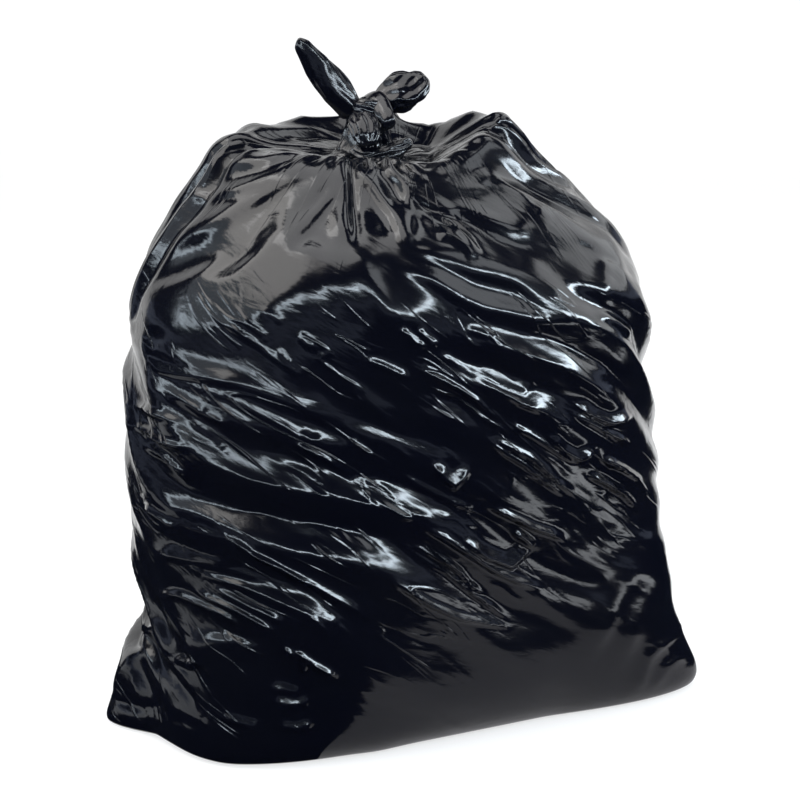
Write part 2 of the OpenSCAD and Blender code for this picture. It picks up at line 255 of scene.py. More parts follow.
# Height, half width, half depth, centre x, centre y, turn, squareness, slope towards the back
sections = np.array([
    [0, base_w / 2, base_d / 2, 4, -2, base_turn, 3.6, 0],
    [hem_r * 0.4, base_w / 2 + hem_r * 0.8, base_d / 2 + hem_r * 0.8, 6, -2, base_turn, 3.4, 0],
    [hem_r * 2.4, base_w / 2 + hem_r, base_d / 2 + hem_r * 2, 8, -4, base_turn, 3.0, 0],
    [belly_z * 0.5, belly_w / 2 - 2, belly_d / 2 - 14, -2, -6, base_turn - 3, 2.6, 0],
    [belly_z, belly_w / 2, belly_d / 2, -6, -5, base_turn - 5, 2.4, 0],
    [between(belly_z, shoulder_z, 0.4), belly_w / 2 - 7, belly_d / 2 + 2, -8, -4, base_turn - 7, 2.3, 0],
    [between(belly_z, shoulder_z, 0.73), belly_w / 2 - 18, belly_d / 2 - 6,
        -3, -1, base_turn - 10, 2.2, 0.02],
    [shoulder_z, shoulder_w / 2, shoulder_d / 2, -15, 2, base_turn - 13, 2.2, 0.08],
    [between(shoulder_z, crest_z, 0.5), between(shoulder_w, crest_w, 0.5) / 2,
        between(shoulder_d, crest_d, 0.45) / 2, -27, 4, crest_turn + 6, 2.2, 0.16],
    [between(shoulder_z, crest_z, 0.83), between(shoulder_w, crest_w, 0.78) / 2,
        between(shoulder_d, crest_d, 0.78) / 2, -crest_shift - 8, 5, crest_turn + 2, 2.2, crest_tilt * 0.8],
    [between(shoulder_z, crest_z, 0.95), crest_w / 2 - 4, crest_d / 2 - 4,
        -crest_shift - 8, 4, crest_turn, 2.2, crest_tilt],
    [between(neck_z, crest_z, 0.4), crest_w / 4 + neck_r, crest_d / 4 + neck_r,
        -neck_x, -2, crest_turn, 2.0, crest_tilt / 2],
    [neck_z, neck_r * 1.6, neck_r * 1.5, -neck_x, -neck_y, 0, 2.0, 0],
    [neck_z + neck_r * 0.7, neck_r * 1.05, neck_r, -neck_x, -neck_y, 0, 2.0, 0],
    [neck_z + neck_r * 1.9, neck_r * 0.9, neck_r * 0.9, -neck_x + 3, -neck_y, 0, 2.0, 0],
], float)
last_section = len(sections) - 1


def sin_deg(a):
    return np.sin(np.radians(a))


def bump(x, half):
    """1 at the middle, 0 at the given half width."""
    t = np.clip(1 - np.abs(x) / half, 0, 1)
    return t * t * (3 - 2 * t)


def rise(x, a, b):
    """Smoothly from 0 to 1 as x goes from a to b."""
    t = np.clip((x - a) / (b - a), 0, 1)
    return t * t * (3 - 2 * t)


def turn_between(a, b):
    return (a - b + 180) % 360 - 180


def ridge(x):
    """A wave with sharp ridges that repeats each time x grows by 1."""
    return 1 - 4 * np.abs(x - np.floor(x) - 0.5)


def unit(v):
    return v / np.maximum(np.linalg.norm(v, axis=-1, keepdims=True), 1e-9)


def section_at(s):
    """A smooth curve through the sections, at places counted in sections."""
    i = np.minimum(np.floor(s).astype(int), last_section - 1)
    f = (s - i)[..., None]
    p0, p1 = sections[np.maximum(i - 1, 0)], sections[i]
    p2, p3 = sections[i + 1], sections[np.minimum(i + 2, last_section)]
    return p1 + f / 2 * (p2 - p0 + f * (2 * p0 - 5 * p1 + 4 * p2 - p3 + f * (3 * (p1 - p2) + p3 - p0)))


def smooth_sack(u, s):
    """Points of the unfolded sack, u degrees round it and at place s."""
    v = section_at(s)
    c, d, n = np.cos(np.radians(u)), np.sin(np.radians(u)), v[..., 6]
    r = (np.abs(c) ** n + np.abs(d) ** n) ** (-1 / n)
    x, y, turn = v[..., 1] * r * c, v[..., 2] * r * d, np.radians(v[..., 5])
    back = x * np.sin(turn) + y * np.cos(turn)
    return np.stack(
        [v[..., 3] + x * np.cos(turn) - y * np.sin(turn), v[..., 4] + back, v[..., 0] + back * v[..., 7]], -1
    )


def film_normals(points):
    round_it = np.roll(points, -1, 1) - np.roll(points, 1, 1)
    up = np.empty_like(points)
    up[1:-1] = points[2:] - points[:-2]
    up[0], up[-1] = points[1] - points[0], points[-1] - points[-2]
    return unit(np.cross(round_it, up))


def film_grid(columns, rows):
    """Share of the way round and place in sections of each point, with the rows evenly apart on the film."""
    fine = np.linspace(0, last_section, 3000)
    line = smooth_sack(np.full_like(fine, 250.0), fine)
    run = np.r_[0, np.cumsum(np.linalg.norm(np.diff(line, axis=0), axis=1))]
    s = np.interp(np.linspace(0, run[-1], rows), run, fine)
    t = np.arange(columns) / columns
    t = t + film_crowding / (2 * np.pi) * np.sin(2 * np.pi * (t - 0.25))
    return np.broadcast_to(t[None, :], (rows, columns)), np.broadcast_to(s[:, None], (rows, columns))


def column_angle(t, s):
    """Columns of points follow the pleats: unevenly spaced, and fanned out from the front of the neck."""
    c = 360 * t + 4 * sin_deg(720 * t + 40) + 2.5 * sin_deg(1800 * t + 110)
    return c - fan * rise(s, 4, last_section - 4) * sin_deg(c - 270)


def reach_at(u):
    return pleat_reach * (0.55 + 0.45 * bump(turn_between(u, tight_side), 110))


def corner_push(u, z):
    right, left = turn_between(u, right_corner_at), turn_between(u, left_corner_at)
    return (
        right_corner_l * np.maximum(1 - z / right_corner_h, 0) ** 1.1 * bump(right, corner_spread) ** 0.8
        + left_corner_l * np.maximum(1 - z / left_corner_h, 0) ** 0.9 * bump(left, corner_spread) ** 0.8
        - pinch * bump(left, corner_spread * 1.5) * bump(z - left_corner_h, left_corner_h / 2)
        - pinch / 2 * bump(right, corner_spread * 1.3) * bump(z - right_corner_h * 0.8, right_corner_h / 4)
    )


def lump(u, z):
    swell = sin_deg(3 * u + z * 0.8) + 0.7 * sin_deg(4 * u - z * 1.3 + 70)
    return lump_depth * rise(z, 10, 60) * (1 - rise(z, shoulder_z - 60, crest_z)) * swell


def filled_sack(t, s):
    """Angle, height and place of each point of the sack with its lumps and corners, but no folds."""
    u = column_angle(t, s)
    points = smooth_sack(u, s)
    z = points[..., 2]
    v = section_at(s)
    centre = np.stack([v[..., 3], v[..., 4], z], -1)
    points = points + (lump(u, z) * rise(s, 1, 3))[..., None] * film_normals(points)
    points = points + corner_push(u, z)[..., None] * unit(smooth_sack(u, s) - centre)
    points[..., 2] = np.maximum(points[..., 2], 0)
    return u % 360, z, points


def pleat_fold(t, u, s, z):
    strength = 0.6 + 0.4 * sin_deg(83 * np.floor(t * pleats + 1e-9) + 30)
    fade = rise(z, crest_z - reach_at(u), crest_z - 20)
    depth = np.where(s > last_section - 4, neck_r * 0.17, pleat_depth * (0.75 - 0.25 * sin_deg(u)))
    return depth * strength * fade * ridge(t * pleats)


def crease_fold(u, z):
    wander = 0.4 * sin_deg(2 * u + z * 0.5) + 0.26 * sin_deg(3 * u - z * 0.8 + 50)
    top = crest_z - reach_at(u)
    band = rise(z, 24, 90) * (1 - rise(z, top - 30, top + 50))
    strength = 0.62 + 0.38 * sin_deg(2.2 * u + z * 1.3)
    return crease_depth * strength * band * ridge(creases * u / 360 + z / crease_pitch + wander)


# Folds as they show from the front, in pixels of the 800-pixel view: height in mm, half width above and below
# the fold in mm, and its points
drawn_folds = [
    # Long edge across the right shoulder
    (12, 34, 8, [(405, 248), (433, 257), (473, 272), (493, 276), (518, 284), (533, 296), (566, 321)]),
    (8, 20, 7, [(400, 266), (433, 282), (466, 304), (483, 311), (541, 324), (591, 322)]),
    (8, 10, 7, [(599, 314), (616, 324), (634, 337)]),
    # Deep fold straight down from the knot, and the folds beside it
    (-6, 8, 5, [(350, 160), (352, 200), (356, 245)]),
    (6, 14, 6, [(352, 165), (372, 188), (392, 215), (404, 247)]),
    (7, 12, 6, [(380, 165), (402, 182), (410, 215), (404, 247)]),
    (5, 12, 7, [(350, 250), (368, 285), (385, 312), (388, 330)]),
    # Crumpled panels to the right of the knot
    (7, 10, 26, [(405, 143), (458, 151), (493, 140)]),
    (4, 22, 14, [(530, 222), (548, 226), (566, 236), (594, 245), (604, 262)]),
    (4, 7, 8, [(421, 176), (436, 167), (449, 168)]),
    (4, 7, 7, [(436, 190), (446, 180), (450, 168)]),
    (13, 42, 12, [(408, 188), (440, 203), (475, 212), (505, 224), (530, 238)]),
    (6, 10, 8, [(405, 186), (433, 206), (458, 213)]),
    (6, 10, 6, [(428, 216), (450, 223), (466, 241), (472, 262)]),
    (6, 8, 12, [(403, 203), (405, 225), (406, 245)]),
    (6, 6, 8, [(604, 258), (605, 285), (606, 308)]),
    (5, 14, 10, [(579, 203), (598, 225), (615, 250), (622, 300)]),
    (5, 7, 7, [(622, 235), (634, 262), (640, 300)]),
    (6, 8, 8, [(500, 118), (514, 134), (536, 148), (559, 170), (579, 203)]),
    # Tight folds from the knot over the left shoulder, with flat panels above them
    (8, 8, 5, [(344, 146), (316, 134), (257, 133), (235, 139), (199, 180)]),
    (9, 14, 6, [(344, 148), (310, 154), (272, 160), (234, 166)]),
    (8, 14, 6, [(338, 154), (287, 174), (243, 189), (213, 201)]),
    (9, 20, 7, [(331, 161), (272, 192), (228, 218), (177, 251)]),
    (11, 30, 8, [(342, 154), (318, 190), (303, 210), (287, 243), (262, 282), (241, 312)]),
    (8, 12, 6, [(343, 152), (331, 198), (290, 246)]),
    (8, 9, 30, [(344, 147), (345, 190), (345, 242)]),
    (14, 30, 62, [(135, 326), (165, 306), (200, 296), (241, 292), (266, 278), (294, 266), (328, 268),
        (347, 250)]),
    (5, 30, 40, [(345, 250), (366, 284), (390, 312), (430, 326)]),
    (6, 12, 7, [(222, 257), (196, 284), (160, 322)]),
    (5, 8, 6, [(196, 224), (177, 249), (162, 271), (140, 308)]),
    (5, 6, 5, [(210, 192), (181, 210), (168, 227)]),
    # Long folds over the belly, slanting down to the right
    (4, 14, 7, [(120, 340), (160, 352), (200, 372), (260, 392), (330, 420)]),
    (4, 16, 7, [(140, 385), (200, 410), (250, 430), (300, 445), (330, 455)]),
    (5, 16, 6, [(227, 533), (270, 560), (330, 595), (390, 620), (440, 640)]),
    (4, 14, 6, [(200, 574), (242, 586), (271, 598), (308, 614), (330, 637)]),
    (4, 12, 7, [(130, 500), (190, 510), (240, 530), (300, 555), (360, 570)]),
    (4, 20, 7, [(293, 404), (340, 427), (390, 452)]),
    # Left corner: a light flap, the black fold behind it and the round bulge beside it
    (10, 14, 6, [(141, 619), (156, 636), (175, 656)]),
    (-9, 6, 9, [(143, 628), (160, 656), (180, 684), (198, 706)]),
    (8, 7, 20, [(181, 653), (193, 645), (213, 640), (235, 642), (264, 652)]),
    (10, 16, 8, [(112, 690), (124, 672), (142, 650)]),
    (-5, 6, 6, [(112, 700), (140, 706), (168, 705)]),
    (4, 7, 5, [(122, 716), (160, 722), (216, 738)]),
    (4, 6, 6, [(168, 704), (215, 728), (248, 742)]),
    # Right corner: upright folds that spread from the pinch above it, and a folded tuft at its tip
    (8, 26, 9, [(596, 650), (622, 596), (655, 528)]),
    (8, 20, 9, [(628, 656), (646, 592), (657, 531)]),
    (7, 16, 9, [(656, 650), (660, 590), (658, 535)]),
    (6, 12, 6, [(658, 531), (670, 576), (684, 618)]),
    (6, 8, 6, [(640, 692), (650, 656), (668, 640), (690, 623)]),
    (4, 7, 5, [(655, 688), (668, 668), (690, 650)]),
]


# How far the rim of the film stands above or below its plain ring to the right of the knot: pixel column, mm
rim_lift = [(393, 0), (410, -8), (428, -15), (450, -3), (480, 8), (503, 11), (522, 6), (545, 0)]
# Narrow creases that catch the light, in the same pixels: the belly from the right, the belly from the left,
# then the lower left
thin_folds = [
    [(417, 330), (426, 340), (436, 348)],
    [(399, 330), (414, 343), (427, 349)],
    [(441, 357), (460, 368), (477, 376)],
    [(465, 330), (479, 334), (498, 340)],
    [(366, 361), (380, 366), (393, 372), (408, 379)],
    [(414, 368), (435, 378), (460, 391), (475, 401), (488, 414), (507, 428)],
    [(460, 403), (477, 416), (494, 425), (507, 433)],
    [(481, 383), (498, 391), (519, 404), (540, 412)],
    [(511, 427), (530, 436), (551, 449), (574, 463)],
    [(492, 439), (509, 448), (530, 458), (545, 471), (555, 482), (572, 494)],
    [(486, 439), (505, 454), (524, 465), (545, 482), (561, 494)],
    [(599, 458), (618, 467), (639, 482)],
    [(587, 475), (604, 483), (622, 494), (635, 509)],
    [(572, 414), (593, 425), (610, 435), (629, 444)],
    [(402, 475), (418, 486), (435, 494), (456, 504), (475, 511)],
    [(349, 439), (362, 450), (372, 458)],
    [(330, 463), (343, 471), (355, 479)],
    [(372, 479), (387, 488), (399, 503), (414, 513), (429, 517)],
    [(355, 486), (372, 496), (389, 507), (402, 516), (416, 518)],
    [(423, 527), (441, 536), (465, 551), (490, 568), (515, 580), (540, 587)],
    [(408, 545), (427, 554), (448, 564), (460, 574), (469, 585), (486, 597)],
    [(393, 537), (418, 557), (444, 572), (467, 589), (490, 606), (509, 620)],
    [(490, 507), (509, 515), (532, 526), (549, 532), (564, 540)],
    [(387, 578), (404, 589), (429, 604), (456, 616), (509, 627)],
    [(238, 319), (249, 326), (258, 332), (266, 342)],
    [(224, 323), (242, 335), (257, 345), (264, 352), (286, 367), (295, 375)],
    [(260, 311), (276, 319), (283, 324)],
    [(276, 351), (283, 358), (290, 366)],
    [(167, 389), (180, 398), (195, 407), (204, 418)],
    [(204, 414), (216, 420), (227, 426)],
    [(189, 421), (201, 429), (214, 436), (223, 446), (233, 457)],
    [(144, 446), (155, 454), (167, 460), (176, 468), (188, 482)],
    [(270, 455), (286, 463), (304, 471), (318, 479), (334, 495)],
    [(282, 465), (295, 476), (311, 486), (326, 497)],
    [(295, 443), (311, 451), (327, 460), (340, 468)],
    [(145, 505), (161, 515), (176, 523), (186, 529)],
    [(167, 379), (198, 389), (227, 398), (257, 413), (286, 427), (308, 442)],
    [(135, 405), (151, 413), (169, 420), (186, 423)],
    [(132, 424), (147, 432), (158, 441), (192, 449)],
    [(227, 533), (238, 542), (257, 555), (286, 571), (315, 587), (340, 602), (375, 622)],
    [(172, 552), (183, 562), (201, 574)],
    [(163, 592), (183, 596), (205, 606), (230, 617), (239, 629), (251, 640)],
    [(211, 568), (242, 574), (268, 583), (301, 593)],
    [(204, 576), (242, 586), (271, 598), (308, 614), (323, 627), (330, 637)],
    [(198, 592), (227, 605), (257, 620), (279, 634)],
    [(213, 587), (242, 602), (271, 615), (286, 623)],
    [(282, 646), (299, 661), (305, 674)],
    [(292, 649), (315, 664), (337, 676)],
]
# Short slopes that face up and show as bright three-cornered patches: widths and points as above
lit_folds = [
    (11, 4, [(479, 372), (500, 385), (522, 393), (536, 383)]),
    (11, 4, [(575, 405), (592, 417), (608, 424), (627, 415)]),
    (11, 4, [(545, 436), (560, 450), (577, 460), (592, 449)]),
    (12, 4, [(432, 464), (443, 478), (454, 486), (470, 468)]),
    (13, 4, [(459, 539), (483, 555), (509, 565), (531, 551)]),
    (9, 4, [(513, 532), (524, 540), (533, 547)]),
    (9, 4, [(300, 432), (310, 440), (321, 440)]),
    (10, 4, [(297, 336), (306, 345), (316, 348)]),
    (12, 4, [(148, 358), (160, 372), (176, 376), (240, 384)]),
    (12, 5, [(160, 552), (190, 562), (230, 572)]),
    (10, 5, [(223, 716), (243, 722), (262, 727)]),
    (10, 5, [(274, 701), (292, 704), (312, 701)]),
    (8, 5, [(279, 724), (296, 727), (314, 723)]),
    (9, 5, [(272, 688), (286, 690), (302, 694)]),
    (8, 5, [(176, 658), (187, 664), (200, 663)]),
    (7, 5, [(318, 614), (328, 620), (338, 621)]),
]
# Folds whose lower side shows white, as it mirrors a window: widths and points as above
white_folds = [
    (14, 12, [(474, 172), (498, 181), (529, 208), (552, 222)]),
    (12, 7, [(436, 236), (452, 240), (466, 252), (473, 264)]),
]
# Half widths of a narrow crease above and below its line, the tilt at which film in front mirrors a window,
# and how much steeper than that a crease stands
thin_above = 8.0
thin_below = 4.6
thin_tilt = 19.0
thin_lift = 1.2
# The least and the most that a fold turns the film, in degrees, and the steepest slope of a strewn fold
tilt_range = (5, 42)
strewn_steepest = 0.36
# The view in which the folds are drawn: its size in pixels, the eye, the ways ahead and up, and its scale
view_px = 800
view_middle = view_px / 2
view_eye = np.array(looked_at) / MM + camera_far / MM * np.array(camera_back)
view_ahead = -np.array(camera_back)
view_up = np.array([0, math.sin(camera_rise), math.cos(camera_rise)])
view_scale = view_px * lens_mm / sensor_mm


def seen_from_front(points):
    """Place of each point in the view, and how squarely its film faces the camera."""
    ray = points - view_eye
    far = ray @ view_ahead
    facing = (film_normals(points) * -unit(ray)).sum(-1)
    x = view_middle + view_scale * ray[..., 0] / far
    return x, view_middle - view_scale * (ray @ view_up) / far, facing


def drawn_fold(x, y, height, above, below, points, sharpness=1.12):
    """Height of one drawn fold over the view: a line with a slope of its own width on each side."""
    points = np.array(points, float)
    if points[-1, 0] < points[0, 0]:
        points = points[::-1]
    steps = np.diff(points, axis=0)
    lengths = np.linalg.norm(steps, axis=1)
    starts = np.r_[0, np.cumsum(lengths)]
    nearest, side, along = np.full(x.shape, 1e9), np.zeros_like(x), np.zeros_like(x)
    for (ax, ay), (dx, dy), length, start in zip(points, steps, lengths, starts):
        t = np.clip(((x - ax) * dx + (y - ay) * dy) / length**2, 0, 1)
        ex, ey = x - ax - t * dx, y - ay - t * dy
        d = np.hypot(ex, ey)
        closer = d < nearest
        nearest = np.where(closer, d, nearest)
        side = np.where(closer, np.sign(dx * ey - dy * ex), side)
        along = np.where(closer, (start + t * length) / starts[-1], along)
    slope = np.clip(1 - nearest / np.where(side < 0, above, below), 0, 1)
    taper = np.clip(np.minimum(along, 1 - along) * 5 + 0.15, 0, 1)
    return height * slope**sharpness * taper


def scattered_folds(u, z, draw, count, low, high, length, half, height):
    """Short folds strewn over the belly: slanting, slightly S-shaped lines, steep on the lower side."""
    out = np.zeros_like(z)
    belly_r = 250
    for _ in range(count):
        u0, z0 = draw.uniform(0, 360), draw.uniform(low, high)
        slant = np.radians(fold_slant + draw.normal() * 8)
        reach = length * np.exp(draw.normal() * 0.35)
        w = half * np.exp(draw.normal() * 0.3)
        h = height * np.exp(draw.normal() * 0.35)
        on_panel = bump(turn_between(u0, panel_at), 60) * (1 - rise(z0, 60, 165))
        if draw.uniform() < on_panel:
            continue
        da, dz = np.radians(turn_between(u, u0)) * belly_r, z - z0
        near = (np.abs(da) < reach) & (np.abs(dz) < reach)
        if not near.any():
            continue
        p = da[near] * np.cos(slant) - dz[near] * np.sin(slant)
        q = da[near] * np.sin(slant) + dz[near] * np.cos(slant)
        q = q + 0.10 * reach * np.sin(np.pi * np.clip(p / reach, -1, 1))
        q = q + 0.12 * reach * np.clip(p / reach, 0, 1) ** 2
        slope = np.where(q > 0, np.clip(1 - q / (w * 1.6), 0, 1) ** 1.6, np.clip(1 + q / w, 0, 1) ** 1.1)
        out[near] = np.maximum(out[near], h * slope * np.clip(1 - (p / reach) ** 2, 0, 1))
    return out


def film_lengths(surface, across, spare):
    """Lengths of the film between neighbours, with spare film in the direction across the creases."""
    out = []
    for du, dv in ((1, 0), (0, 1), (1, 1), (-1, 1)):
        rows = slice(None) if dv == 0 else slice(None, -1)
        other = np.roll(surface, -du, 1)
        edge = (other if dv == 0 else other[1:]) - surface[rows]
        stretch = (edge * across[rows]).sum(-1)
        out.append((du, dv, np.sqrt((edge**2).sum(-1) + ((1 + spare[rows]) ** 2 - 1) * stretch**2)))
    return out


def mean_around(points):
    """The mean of each point's four neighbours."""
    mean = (np.roll(points, 1, 1) + np.roll(points, -1, 1)) * 0.25
    mean[1:-1] += (points[2:] + points[:-2]) * 0.25
    mean[0] += points[0] * 0.5
    mean[-1] += points[-1] * 0.5
    return mean


def relax_film(points, surface, normal, lengths, steps, limit, stiffness):
    """Moves the film until its lengths fit: it resists stretch, bends easily and hugs the fill."""
    side_limit, squeeze, step_share, hug = 5.0, 0.9, 0.28, 0.996
    for _ in range(steps):
        move = np.zeros_like(points)
        for du, dv, length in lengths:
            other = np.roll(points, -du, 1) if du else points
            gap = (other - points) if dv == 0 else (other[1:] - points[:-1])
            now = np.sqrt((gap * gap).sum(-1)) + 1e-9
            share = (now - length) / now * 0.5
            pull = np.where(share < 0, share * squeeze, share)[..., None] * gap
            if dv == 0:
                move += pull
                move -= np.roll(pull, du, 1)
            else:
                move[:-1] += pull
                move[1:] -= np.roll(pull, du, 1) if du else pull
        points = points + move * step_share
        points = points + (mean_around(points) - points) * stiffness
        off = points - surface
        out = (off * normal).sum(-1, keepdims=True)
        along = off - out * normal
        along = along * np.minimum(1, side_limit / (np.sqrt((along * along).sum(-1, keepdims=True)) + 1e-9))
        points = surface + np.clip(out * hug, -limit, limit) * normal + along
        points[..., 2] = np.maximum(points[..., 2], 0)
    return points


def crease_film(points, normal, sharpness, steps):
    """Flattens what is nearly flat and leaves sharp folds alone, as thin film creases where it would bend."""
    for _ in range(steps):
        bend = np.roll(points, 1, 1) + np.roll(points, -1, 1) - 2 * points
        move = bend / (1 + (bend * bend).sum(-1, keepdims=True) / sharpness**2)
        bend = points[2:] + points[:-2] - 2 * points[1:-1]
        move[1:-1] += bend / (1 + (bend * bend).sum(-1, keepdims=True) / sharpness**2)
        points = points + 0.2 * (move * normal).sum(-1, keepdims=True) * normal
    return points


def crumple(points, size, seed):
    """Flat facets with sharp edges between them, about size mm wide, from -1 to 1."""
    draw = np.random.default_rng(seed)
    out = np.zeros(points.shape[:-1])
    total = 0
    for scale in (1.0, 0.9, 0.6, 0.5, 0.33, 0.28):
        way = unit(draw.normal(size=3))
        out += scale * ridge((points @ way) / (size * 2 * scale) + draw.uniform())
        total += scale
    return out / total * 2


def finer(values, old_s, new_s):
    """The same values on a grid with twice the columns and more rows."""
    double = np.empty((values.shape[0], values.shape[1] * 2, values.shape[2]))
    double[:, ::2] = values
    double[:, 1::2] = (values + np.roll(values, -1, 1)) / 2
    place = np.interp(new_s, old_s, np.arange(len(old_s)))
    low = np.minimum(place.astype(int), len(old_s) - 2)
    share = (place - low)[:, None, None]
    return double[low] * (1 - share) + double[low + 1] * share


def turn_to_windows(points):
    """By how many degrees the film would have to look further up, so that it mirrors the windows."""
    soft = points
    for _ in range(12):
        soft = mean_around(soft)
    normal = film_normals(soft)
    tilt = np.degrees(np.arctan2(normal[..., 2], np.hypot(normal[..., 0], normal[..., 1])))
    aside = np.degrees(np.arctan2(normal[..., 0], -normal[..., 1]))
    needed = thin_tilt + 0.0042 * np.minimum(np.abs(aside), 65) ** 2 + 0.009 * (380 - points[..., 2])
    return needed - tilt


def film_points():
    """The finished film: coarse folds first, then finer ones on a finer grid, and the narrow creases last."""
    draw = np.random.default_rng(film_seed)
    moved = None
    for level, (columns, rows, steps) in enumerate(film_levels):
        t, s = film_grid(columns, rows)
        u, z, surface = filled_sack(t, s)
        normal = film_normals(surface)
        reach = crest_z - reach_at(u)
        gathered = rise(z, reach - 20, reach + 60)
        x, y, squarely = seen_from_front(surface)
        facing = rise(squarely, 0.0, 0.3)
        panel = bump(turn_between(u, panel_at), 52) * (1 - rise(z, 60, 165))
        round_it = unit(np.roll(surface, -1, 1) - np.roll(surface, 1, 1))
        up = unit(np.cross(normal, round_it))
        slant = np.radians(fold_slant)
        slanted = np.sin(slant) * round_it + np.cos(slant) * up
        across = unit(slanted * (1 - gathered)[..., None] + round_it * gathered[..., None])
        fold = (pleat_fold(t, u, s, z) + crease_fold(u, z) * 0.8) * rise(s, 1, 3)
        front_top = rise(squarely, 0.35, 0.7) * gathered
        by_panel = bump(turn_between(u, panel_at), 85) * (1 - rise(z, 170, 330))
        fold = fold * (1 - 0.85 * front_top) * (1 - panel) * (1 - 0.6 * by_panel)
        drawn = sum(drawn_fold(x, y, *one) for one in drawn_folds) * facing
        fold = fold * (1 - 0.75 * np.clip(np.abs(drawn) / 6, 0, 1))
        surface = surface + fold[..., None] * normal
        surface[..., 2] += np.interp(x, *zip(*rim_lift)) * rise(z, 535, 575) * (z < neck_z + 60)
        spare = (film_spare + 0.03 * gathered) * (1 - panel) * rise(z, 10, 50) * (1 - 0.8 * front_top)
        lengths = film_lengths(surface, across, spare)
        points = surface
        if moved is not None:
            d = finer(moved, moved_s, s[:, 0])
            points = surface + d[..., 0:1] * normal + d[..., 1:2] * round_it + d[..., 2:3] * up
        if level == 0:
            waves = sum(
                np.sin(
                    np.round(draw.uniform(6, 16)) * np.radians(u)
                    + draw.choice([-1, 1]) * draw.uniform(0.03, 0.07) * z
                    + draw.uniform(0, 2 * np.pi)
                )
                for _ in range(8)
            )
            calm = (1 - panel) * (1 - 0.8 * front_top)
            points = points + (1.1 * waves * calm * rise(z, 10, 70))[..., None] * normal
        if level == 1:
            strewn = scattered_folds(u, z, draw, count=260, low=30, high=470, length=70, half=11, height=6)
            points = points + (strewn * (1 - gathered))[..., None] * normal
            fine_pleats = np.sin(2 * np.pi * (t * 44 + 0.5 * np.sin(14 * np.pi * t)))
            fine_pleats = fine_pleats + np.sin(2 * np.pi * (t * 71 + 0.5 * np.sin(8 * np.pi * t)))
            fine_pleats = fine_pleats * gathered * rise(z, reach, crest_z) * (1 - 0.8 * front_top)
            points = points + fine_pleats[..., None] * normal
        if level == 2:
            crisp = crumple(surface, size=34, seed=5) * gathered * rise(z, reach, crest_z - 40)
            crisp = crisp * (1 - 0.6 * facing)
            points = points + (drawn + 3.0 * crisp)[..., None] * normal
        points[..., 2] = np.maximum(points[..., 2], 0)
        stiffness = [0.02, 0.012, 0.006][level]
        points = relax_film(points, surface, normal, lengths, steps, limit=7.0, stiffness=stiffness)
        points = crease_film(points, normal, sharpness=[1.5, 0.9, 0.45][level], steps=4)
        off = points - surface
        moved = np.stack([(off * way).sum(-1) for way in (normal, round_it, up)], -1)
        moved_s = s[:, 0]
    points = crease_film(points, normal, sharpness=0.8, steps=4)
    turn = turn_to_windows(points)
    face_up = np.tan(np.radians(np.clip(turn, *tilt_range)))
    face_down = np.tan(np.radians(np.clip(-turn, *tilt_range)))
    thin = np.max([drawn_fold(x, y, thin_above, thin_above, thin_below, line, 1.5) for line in thin_folds], 0)
    lit = np.max([drawn_fold(x, y, above, above, below, line) for above, below, line in lit_folds], 0)
    white = [drawn_fold(x, y, below, above, below, line, 1.0) for above, below, line in white_folds]
    white = np.max(white, 0)
    strewn = scattered_folds(u, z, draw, count=800, low=20, high=480, length=34, half=3.6, height=4.5)
    strewn = strewn * (1 - gathered) * np.minimum(face_up, strewn_steepest)
    strewn = strewn * (0.35 + 0.65 * rise(np.abs(squarely), 0.1, 0.5)) * (1 - 0.7 * facing)
    fine = np.maximum(np.maximum(thin_lift * thin, lit) * facing * face_up, strewn)
    fine = fine + white * facing * face_down
    points = points + fine[..., None] * normal
    points[..., 2] = np.maximum(points[..., 2], 0)
    return points


def tube_mesh(name, points):
    """A closed mesh from rings of points in mm, with a point in the middle of each end. Each patch between
    four points is split along the folds."""
    rows, columns = points.shape[:2]
    number = np.arange(rows * columns).reshape(rows, columns)
    here, there = number, np.roll(number, -1, 1)
    corner = np.roll(points, -1, 1)
    rows_around = np.clip(np.arange(-1, rows + 1), 0, rows - 1)
    low, high = rows_around[:rows - 1], rows_around[3:rows + 2]
    rising = np.roll(points, 1, 1)[low] - points[:-1] - corner[1:] + np.roll(points, -2, 1)[high]
    falling = np.roll(points, -2, 1)[low] - corner[:-1] - points[1:] + np.roll(points, 1, 1)[high]
    rises = (np.linalg.norm(rising, axis=-1) < np.linalg.norm(falling, axis=-1))[..., None]
    a, b, c, d = here[:-1], there[:-1], here[1:], there[1:]
    one = np.where(rises, np.stack([a, b, d], -1), np.stack([a, b, c], -1))
    two = np.where(rises, np.stack([a, d, c], -1), np.stack([b, d, c], -1))
    first, last = rows * columns, rows * columns + 1
    faces = np.concatenate([one.reshape(-1, 3), two.reshape(-1, 3)]).tolist()
    faces += [(int(there[0, i]), int(here[0, i]), first) for i in range(columns)]
    faces += [(int(here[-1, i]), int(there[-1, i]), last) for i in range(columns)]
    corners = np.concatenate([points.reshape(-1, 3), [points[0].mean(0)], [points[-1].mean(0)]])
    mesh = bpy.data.meshes.new(name)
    mesh.from_pydata((corners * MM).tolist(), [], faces)
    mesh.shade_smooth()
    piece = bpy.data.objects.new(name, mesh)
    bpy.context.collection.objects.link(piece)
    return piece


def film_math(nodes, links, operation, *values):
    """One step of arithmetic between sockets or numbers."""
    step = nodes.new("ShaderNodeMath")
    step.operation = operation
    for socket, value in zip(step.inputs, values):
        if isinstance(value, float):
            socket.default_value = value
        else:
            links.new(value, socket)
    return step.outputs[0]


def film_range(nodes, links, value, low, high):
    """0 where the value is at low, 1 where it is at high."""
    fitted = nodes.new("ShaderNodeMapRange")
    fitted.inputs["From Min"].default_value = low
    fitted.inputs["From Max"].default_value = high
    links.new(value, fitted.inputs["Value"])
    return fitted.outputs["Result"]


